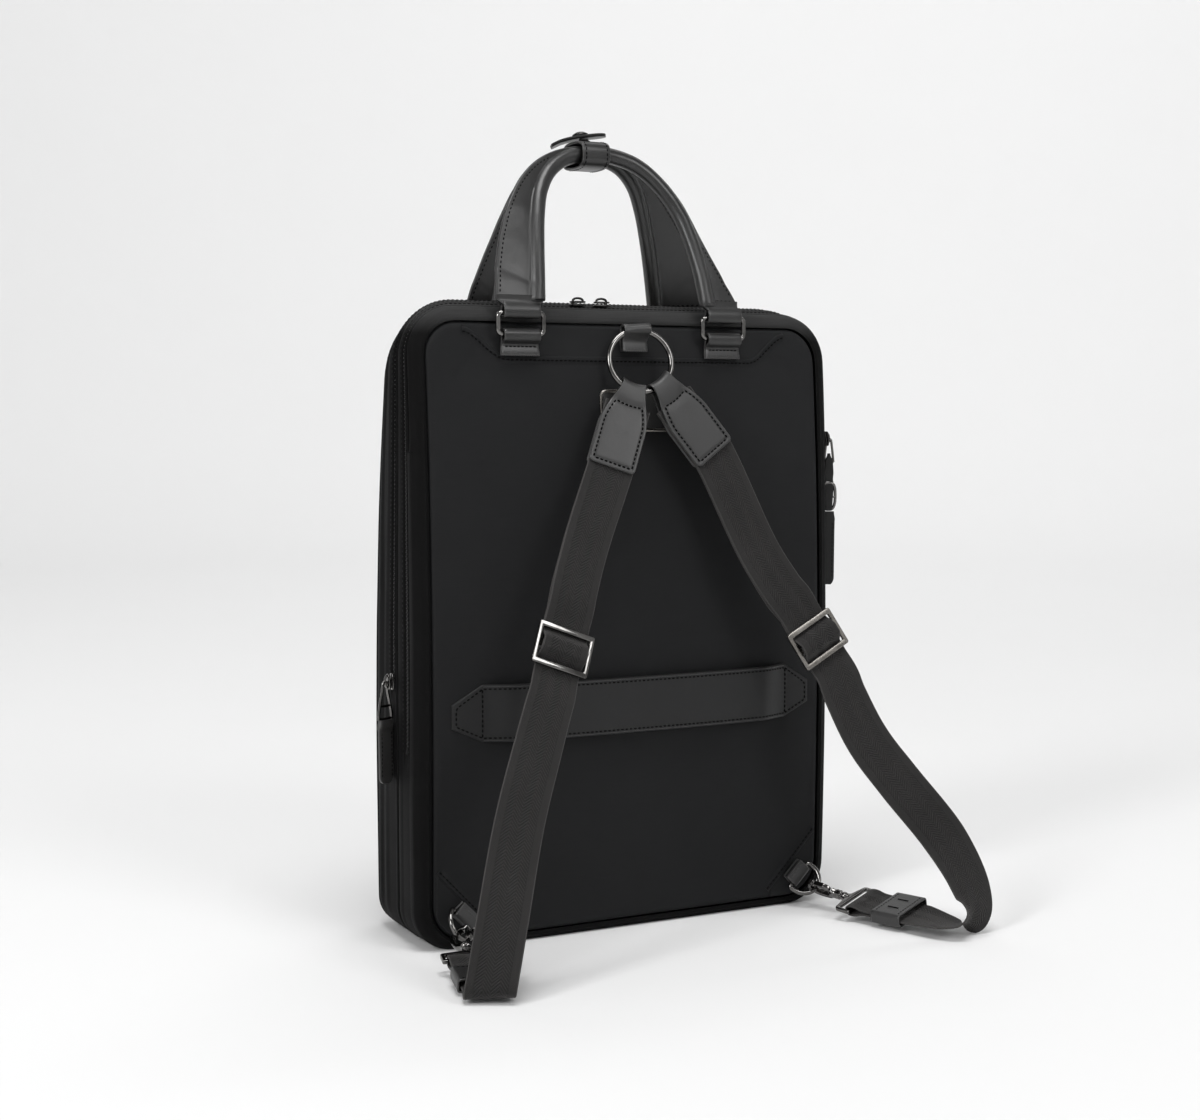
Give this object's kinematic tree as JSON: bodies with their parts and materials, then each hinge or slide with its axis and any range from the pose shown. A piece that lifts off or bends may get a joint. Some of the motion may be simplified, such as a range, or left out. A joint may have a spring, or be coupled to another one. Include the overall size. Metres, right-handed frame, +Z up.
{
  "type": "convertible backpack",
  "caption": "Upright soft backpack with paired top handles, a centre ring with webbing shoulder straps, slides and snap hooks at the corners.",
  "frame": {"origin": "on the floor under the middle of the bag, where its flat bottom stands", "axes": "+Z up; -Y out of the back panel, where the straps are; +X to the right as seen from the straps' side"},
  "size_m": [0.3692, 0.2297, 0.5189],
  "materials": {
    "nylon": "matte twill nylon, near black",
    "padded_nylon": "matte padded nylon, near black",
    "trim_leather": "fine grained black leather",
    "handle_leather": "smooth black leather with a soft shine",
    "strap_leather": "fine grained black leather",
    "webbing": "charcoal herringbone webbing",
    "zip": "black coil zip on black tape",
    "gunmetal": "polished gunmetal plating",
    "satin_metal": "satin warm grey plating"
  },
  "bodies": {
    "bag": {"rear_gusset": "nylon", "main_gusset": "nylon", "front_gusset": "nylon", "back_panel": "padded_nylon", "front_panel": "padded_nylon", "yoke": "trim_leather", "corner_left": "trim_leather", "corner_right": "trim_leather", "luggage_band": "trim_leather", "rear_zip": "zip", "main_zip": "zip", "front_zip": "zip", "top_slider_left": "gunmetal", "top_slider_right": "gunmetal", "left_slider": "gunmetal", "right_slider": "gunmetal", "left_link": "gunmetal", "left_pull": "strap_leather", "right_link": "gunmetal", "right_pull": "strap_leather", "handle_back": "handle_leather", "handle_front": "handle_leather", "handle_ring_back_left": "gunmetal", "handle_tab_back_left": "strap_leather", "handle_ring_back_right": "gunmetal", "handle_tab_back_right": "strap_leather", "handle_ring_front_left": "gunmetal", "handle_tab_front_left": "strap_leather", "handle_ring_front_right": "gunmetal", "handle_tab_front_right": "strap_leather", "handle_keeper": "strap_leather", "snap_tab": "strap_leather", "snap_stud": "satin_metal", "snap_cap": "gunmetal", "o_ring": "gunmetal", "o_ring_tab": "strap_leather", "patch": "trim_leather", "patch_frame": "gunmetal", "d_ring_left": "gunmetal", "d_tab_left": "strap_leather", "hook_left": "gunmetal", "swivel_left": "gunmetal", "strap_end_left": "strap_leather", "strap_left": "webbing", "strap_fixed_left": "webbing", "slide_left": "satin_metal", "keeper_left": "strap_leather", "d_ring_right": "gunmetal", "d_tab_right": "strap_leather", "hook_right": "gunmetal", "swivel_right": "gunmetal", "strap_end_right": "strap_leather", "strap_right": "webbing", "strap_fixed_right": "webbing", "slide_right": "satin_metal", "keeper_right": "strap_leather"},
    "gate_lever_left": {"gate_left": "gunmetal"},
    "gate_lever_right": {"gate_right": "gunmetal"}
  },
  "joints": [
    {"name": "gate_left_hinge", "type": "hinge", "parent": "bag", "child": "gate_lever_left", "pos_m": [-0.13103, -0.07534, 0.01588], "axis": [-0.6969, 0.0518, 0.7153], "range_deg": [0, 16], "stiffness_Nm_per_rad": 0.02},
    {"name": "gate_right_hinge", "type": "hinge", "parent": "bag", "child": "gate_lever_right", "pos_m": [0.133, -0.07532, 0.01602], "axis": [-0.6532, -0.1655, -0.7388], "range_deg": [0, 16], "stiffness_Nm_per_rad": 0.02}
  ]
}
